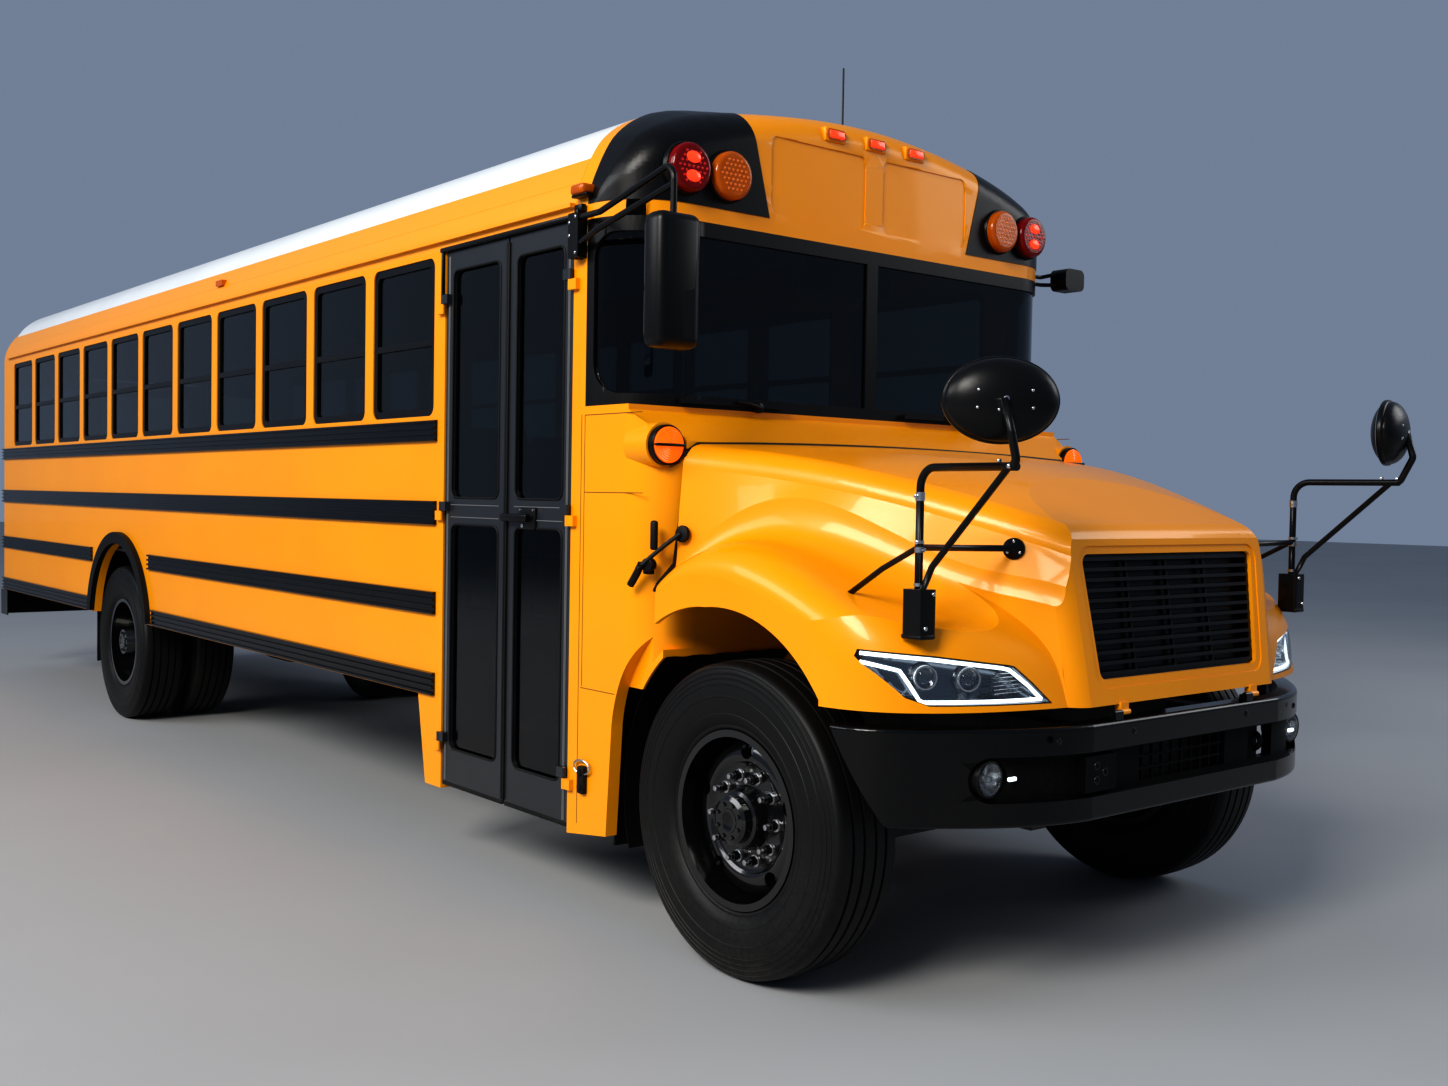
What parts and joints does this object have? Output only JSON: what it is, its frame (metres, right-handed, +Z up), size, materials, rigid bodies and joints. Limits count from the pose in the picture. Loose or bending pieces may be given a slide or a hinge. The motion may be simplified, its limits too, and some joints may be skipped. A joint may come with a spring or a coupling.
{
  "type": "school bus",
  "caption": "Full-size long-nosed school bus with a tilting hood, split entrance door, rear exit door, roof hatch, swing-out signal arm and dual rear wheels.",
  "frame": {"origin": "middle of the whole length and width, on the ground", "axes": "+Z up, -Y towards the nose, +X to the driver's side, entrance door on -X"},
  "size_m": [2.9, 11.1157, 3.3966],
  "materials": {
    "body_paint": "gloss",
    "roof_paint": "gloss",
    "black_paint": "gloss",
    "trim_black": "matte",
    "rubber": "matte",
    "tyre": "matte",
    "glass": "gloss",
    "chassis": "matte",
    "engine": "matte",
    "wheel_paint": "gloss",
    "seat_vinyl": "satin",
    "floor_rubber": "matte",
    "amber_lens": "gloss",
    "red_lens": "gloss",
    "clear_lens": "gloss",
    "tank": "satin",
    "stop_red": "gloss"
  },
  "bodies": {
    "root": {"side_left": "body_paint", "side_right": "body_paint", "window_frames": "trim_black", "roof": "roof_paint", "front_cap": "body_paint", "cowl": "body_paint", "front_trim": "trim_black", "rear_wall": "body_paint", "glass": "glass", "floor": "floor_rubber", "frame_rails": "chassis", "engine_block": "engine", "front_axle": "chassis", "rear_axle": "chassis", "leaf_springs": "chassis", "fuel_tank": "tank", "exhaust": "tank", "rub_rails": "black_paint", "arch_rubber": "rubber", "front_bumper": "black_paint", "fog_lamps": "clear_lens", "rear_bumper": "black_paint", "side_mirror": "trim_black", "amber_lamps": "amber_lens", "red_lamps": "red_lens", "wipers": "trim_black", "antenna": "trim_black", "seats": "seat_vinyl", "dash": "trim_black"},
    "hood": {"hood": "body_paint", "grille": "trim_black", "headlamps": "clear_lens", "crossover_mirrors": "trim_black"},
    "knuckle_left": {"knuckle_left": "chassis"},
    "knuckle_right": {"knuckle_right": "chassis"},
    "wheel_front_left": {"front_wheel_left": "wheel_paint", "front_tyre_left": "tyre"},
    "wheel_front_right": {"front_wheel_right": "wheel_paint", "front_tyre_right": "tyre"},
    "wheels_rear_left": {"rear_wheel_left": "wheel_paint", "rear_tyre_left": "tyre"},
    "wheels_rear_right": {"rear_wheel_right": "wheel_paint", "rear_tyre_right": "tyre"},
    "door_front": {"door_front": "black_paint", "door_front_glass": "glass"},
    "door_rear": {"door_rear": "black_paint", "door_rear_glass": "glass"},
    "emergency_door": {"rear_door": "body_paint", "rear_door_glass": "glass"},
    "roof_hatch": {"roof_hatch": "roof_paint"},
    "stop_arm": {"stop_arm": "stop_red"}
  },
  "joints": [
    {"name": "steer_left", "type": "hinge", "parent": "root", "child": "knuckle_left", "pos_m": [0.88, -4.405, 0.527], "axis": [0, 0, 1], "range_deg": [-35, 35]},
    {"name": "steer_right", "type": "hinge", "parent": "root", "child": "knuckle_right", "pos_m": [-0.88, -4.405, 0.527], "axis": [0, 0, 1], "range_deg": [-35, 35]},
    {"name": "roll_front_left", "type": "hinge", "parent": "knuckle_left", "child": "wheel_front_left", "pos_m": [1.06, -4.405, 0.527], "axis": [1, 0, 0], "continuous": true},
    {"name": "roll_front_right", "type": "hinge", "parent": "knuckle_right", "child": "wheel_front_right", "pos_m": [-1.06, -4.405, 0.527], "axis": [1, 0, 0], "continuous": true},
    {"name": "roll_rear_left", "type": "hinge", "parent": "root", "child": "wheels_rear_left", "pos_m": [0.8885, 2.185, 0.527], "axis": [1, 0, 0], "continuous": true},
    {"name": "roll_rear_right", "type": "hinge", "parent": "root", "child": "wheels_rear_right", "pos_m": [-0.8885, 2.185, 0.527], "axis": [1, 0, 0], "continuous": true},
    {"name": "hood_tilt", "type": "hinge", "parent": "root", "child": "hood", "pos_m": [0, -5.347, 0.94], "axis": [1, 0, 0], "range_deg": [0, 65]},
    {"name": "entrance_front", "type": "hinge", "parent": "root", "child": "door_front", "pos_m": [-1.233, -3.475, 1.5], "axis": [0, 0, 1], "range_deg": [0, 90]},
    {"name": "entrance_rear", "type": "hinge", "parent": "root", "child": "door_rear", "pos_m": [-1.233, -2.484, 1.5], "axis": [0, 0, 1], "range_deg": [-90, 0]},
    {"name": "emergency_door", "type": "hinge", "parent": "root", "child": "emergency_door", "pos_m": [-0.484, 5.499, 1.8], "axis": [0, 0, 1], "range_deg": [0, 110]},
    {"name": "roof_hatch", "type": "hinge", "parent": "root", "child": "roof_hatch", "pos_m": [0, -1.731, 3.15225], "axis": [1, 0, 0], "range_deg": [0, 70]},
    {"name": "stop_arm", "type": "hinge", "parent": "root", "child": "stop_arm", "pos_m": [1.258, -2.35, 1.69], "axis": [0, 0, -1], "range_deg": [0, 90]}
  ],
  "couplings": [
    {"joint": "steer_right", "follows": "steer_left", "ratio": 1},
    {"joint": "entrance_rear", "follows": "entrance_front", "ratio": -1}
  ]
}
